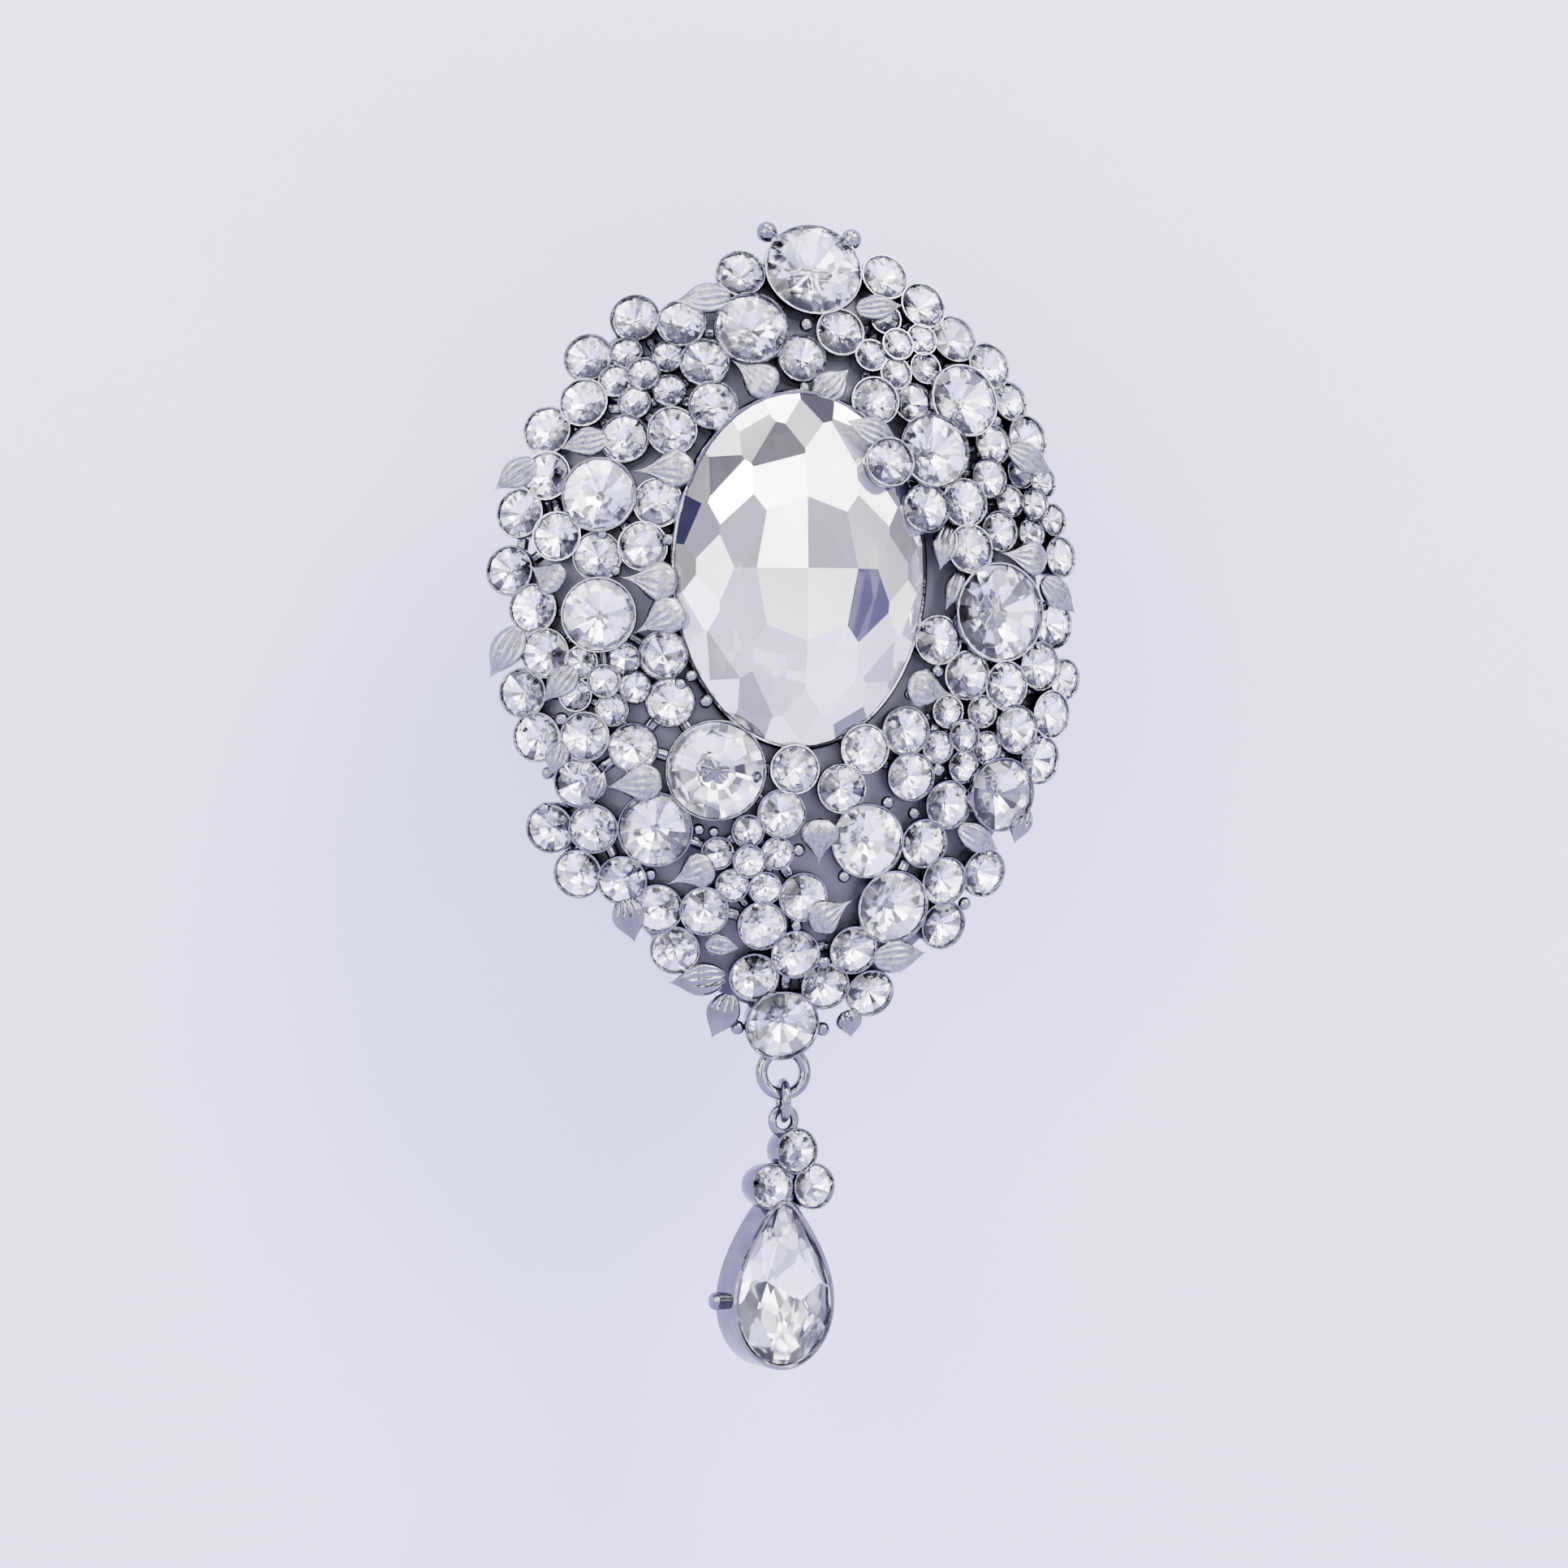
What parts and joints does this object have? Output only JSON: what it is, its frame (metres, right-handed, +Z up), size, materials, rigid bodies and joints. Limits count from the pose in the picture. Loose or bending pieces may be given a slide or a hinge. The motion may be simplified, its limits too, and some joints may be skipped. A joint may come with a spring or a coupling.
{
  "type": "decorative hair pin",
  "caption": "Domed oval jewelled hair ornament with a large oval stone, a hanging pear-stone drop, and a hinged pin stem with a turning safety catch behind.",
  "frame": {"origin": "the middle of the closed pin stem, where hair or cloth holds the piece", "axes": "+X to the right as the face is seen, +Z up as worn, the face looks towards -Y"},
  "size_m": [0.0542, 0.0156, 0.1017],
  "materials": {
    "plated_metal": "bright rhodium plate on a cast white-metal body, brushed in the leaves",
    "cut_crystal": "faceted clear crystal with a silver foil back"
  },
  "bodies": {
    "root": {"base_casting": "plated_metal", "centre_stone": "cut_crystal", "pin_bar": "plated_metal", "hinge_rivet": "plated_metal", "catch_housing": "plated_metal", "large_stone_01": "cut_crystal", "large_stone_02": "cut_crystal", "large_stone_03": "cut_crystal", "medium_stone_01": "cut_crystal", "medium_stone_02": "cut_crystal", "medium_stone_03": "cut_crystal", "medium_stone_04": "cut_crystal", "medium_stone_05": "cut_crystal", "medium_stone_06": "cut_crystal", "medium_stone_07": "cut_crystal", "medium_stone_08": "cut_crystal", "medium_stone_09": "cut_crystal", "medium_stone_10": "cut_crystal", "small_stone_01": "cut_crystal", "small_stone_02": "cut_crystal", "small_stone_03": "cut_crystal", "small_stone_04": "cut_crystal", "small_stone_05": "cut_crystal", "small_stone_06": "cut_crystal", "small_stone_07": "cut_crystal", "small_stone_08": "cut_crystal", "small_stone_09": "cut_crystal", "small_stone_10": "cut_crystal", "small_stone_11": "cut_crystal", "small_stone_12": "cut_crystal", "small_stone_13": "cut_crystal", "small_stone_14": "cut_crystal", "small_stone_15": "cut_crystal", "small_stone_16": "cut_crystal", "small_stone_17": "cut_crystal", "small_stone_18": "cut_crystal", "small_stone_19": "cut_crystal", "small_stone_20": "cut_crystal", "small_stone_21": "cut_crystal", "small_stone_22": "cut_crystal", "small_stone_23": "cut_crystal", "small_stone_24": "cut_crystal", "small_stone_25": "cut_crystal", "small_stone_26": "cut_crystal", "small_stone_27": "cut_crystal", "small_stone_28": "cut_crystal", "small_stone_29": "cut_crystal", "small_stone_30": "cut_crystal"},
    "stem": {"pin_stem": "plated_metal"},
    "collar": {"catch_collar": "plated_metal"},
    "link": {"link_ring": "plated_metal"},
    "drop": {"drop_casting": "plated_metal", "pear_stone": "cut_crystal", "drop_stone_1": "cut_crystal", "drop_stone_2": "cut_crystal", "drop_stone_3": "cut_crystal"}
  },
  "joints": [
    {"name": "pin_stem_hinge", "type": "hinge", "parent": "root", "child": "stem", "pos_m": [0.0145, 0, 0], "axis": [0, 0, -1], "range_deg": [0, 80]},
    {"name": "catch_collar_turn", "type": "hinge", "parent": "root", "child": "collar", "pos_m": [-0.0145, 0, 0], "axis": [-1, 0, 0], "range_deg": [0, 100]},
    {"name": "link_swing", "type": "hinge", "parent": "root", "child": "link", "pos_m": [0, -0.00253, -0.05415], "axis": [0, 1, 0], "range_deg": [-25, 25]},
    {"name": "drop_swing", "type": "hinge", "parent": "link", "child": "drop", "pos_m": [0, -0.00253, -0.05663], "axis": [1, 0, 0], "range_deg": [-20, 20]}
  ]
}
